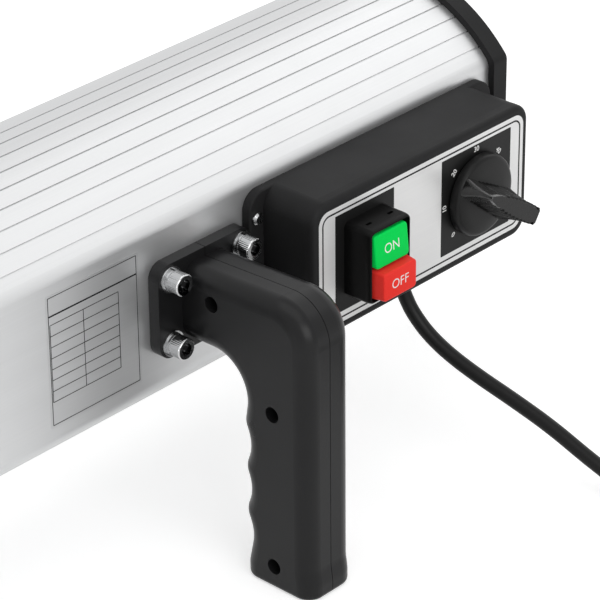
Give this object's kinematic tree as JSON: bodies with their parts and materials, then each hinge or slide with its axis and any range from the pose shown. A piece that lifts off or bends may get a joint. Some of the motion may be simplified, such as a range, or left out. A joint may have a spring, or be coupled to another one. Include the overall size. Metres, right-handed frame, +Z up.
{
  "type": "hand-held infrared paint dryer",
  "caption": "Hand-held infrared paint dryer: ribbed aluminium trough with quartz lamp and wire guard, pistol grip, and a control box with push buttons, timer knob and mains lead.",
  "frame": {"origin": "middle of the hand grip, half way between its front and rear faces and between the arm and the foot", "axes": "+X along the lamp, +Y the way the light leaves, +Z up along the grip"},
  "size_m": [0.472, 0.364, 0.1917],
  "materials": {
    "satin_aluminium": "satin anodised",
    "polished_aluminium": "polished",
    "black_plastic": "fine moulded grain",
    "switch_black": "smooth",
    "knob_black": "smooth moulded",
    "panel_silver": "silver printed",
    "zinc_steel": "zinc plated",
    "dark_steel": "black oxide",
    "guard_steel": "bright wire",
    "quartz_glass": "clear",
    "tungsten_wire": "drawn",
    "white_ceramic": "unglazed",
    "white_plastic": "smooth",
    "green_plastic": "smooth",
    "red_plastic": "smooth",
    "black_rubber": "moulded",
    "cord_black": "smooth sheath",
    "plated_brass": "nickel plated"
  },
  "bodies": {
    "dryer": {"housing_extrusion": "satin_aluminium", "right_end_cap": "black_plastic", "left_end_cap": "black_plastic", "end_cap_screws": "zinc_steel", "reflector": "polished_aluminium", "lamp_end_plates": "zinc_steel", "quartz_tube": "quartz_glass", "lamp_filament": "tungsten_wire", "lamp_bases": "white_ceramic", "front_guard": "guard_steel", "handle_left_shell": "black_plastic", "handle_right_shell": "black_plastic", "handle_shell_screws": "dark_steel", "handle_flat_washers": "zinc_steel", "handle_spring_washers": "zinc_steel", "handle_mount_screws": "zinc_steel", "handle_nut_plate": "zinc_steel", "control_box_shell": "black_plastic", "control_box_screws": "zinc_steel", "panel_plate": "panel_silver", "switch_body": "switch_black", "on_spring": "guard_steel", "off_spring": "guard_steel", "timer_body": "switch_black", "timer_nut": "zinc_steel", "wire_grommet": "black_rubber", "terminal_block": "white_plastic", "cord_gland": "black_rubber", "power_cord": "cord_black", "cord_coil": "cord_black", "coil_tie": "black_rubber", "mains_plug": "black_rubber", "plug_pins": "plated_brass"},
    "on_button": {"on_button": "green_plastic"},
    "off_button": {"off_button": "red_plastic"},
    "timer": {"timer_shaft": "zinc_steel", "timer_knob": "knob_black"}
  },
  "joints": [
    {"name": "on_press", "type": "slide", "parent": "dryer", "child": "on_button", "axis": [0, 1, 0], "range_m": [0, 0.003], "stiffness_N_per_m": 600, "springref_m": -0.002, "deforming": ["on_spring"]},
    {"name": "off_press", "type": "slide", "parent": "dryer", "child": "off_button", "axis": [0, 1, 0], "range_m": [0, 0.0035], "stiffness_N_per_m": 600, "springref_m": -0.002, "deforming": ["off_spring"]},
    {"name": "timer_turn", "type": "hinge", "parent": "dryer", "child": "timer", "pos_m": [0.1464, 0.02485, 0.0716], "axis": [0, -1, 0], "range_deg": [-11, 259]}
  ]
}
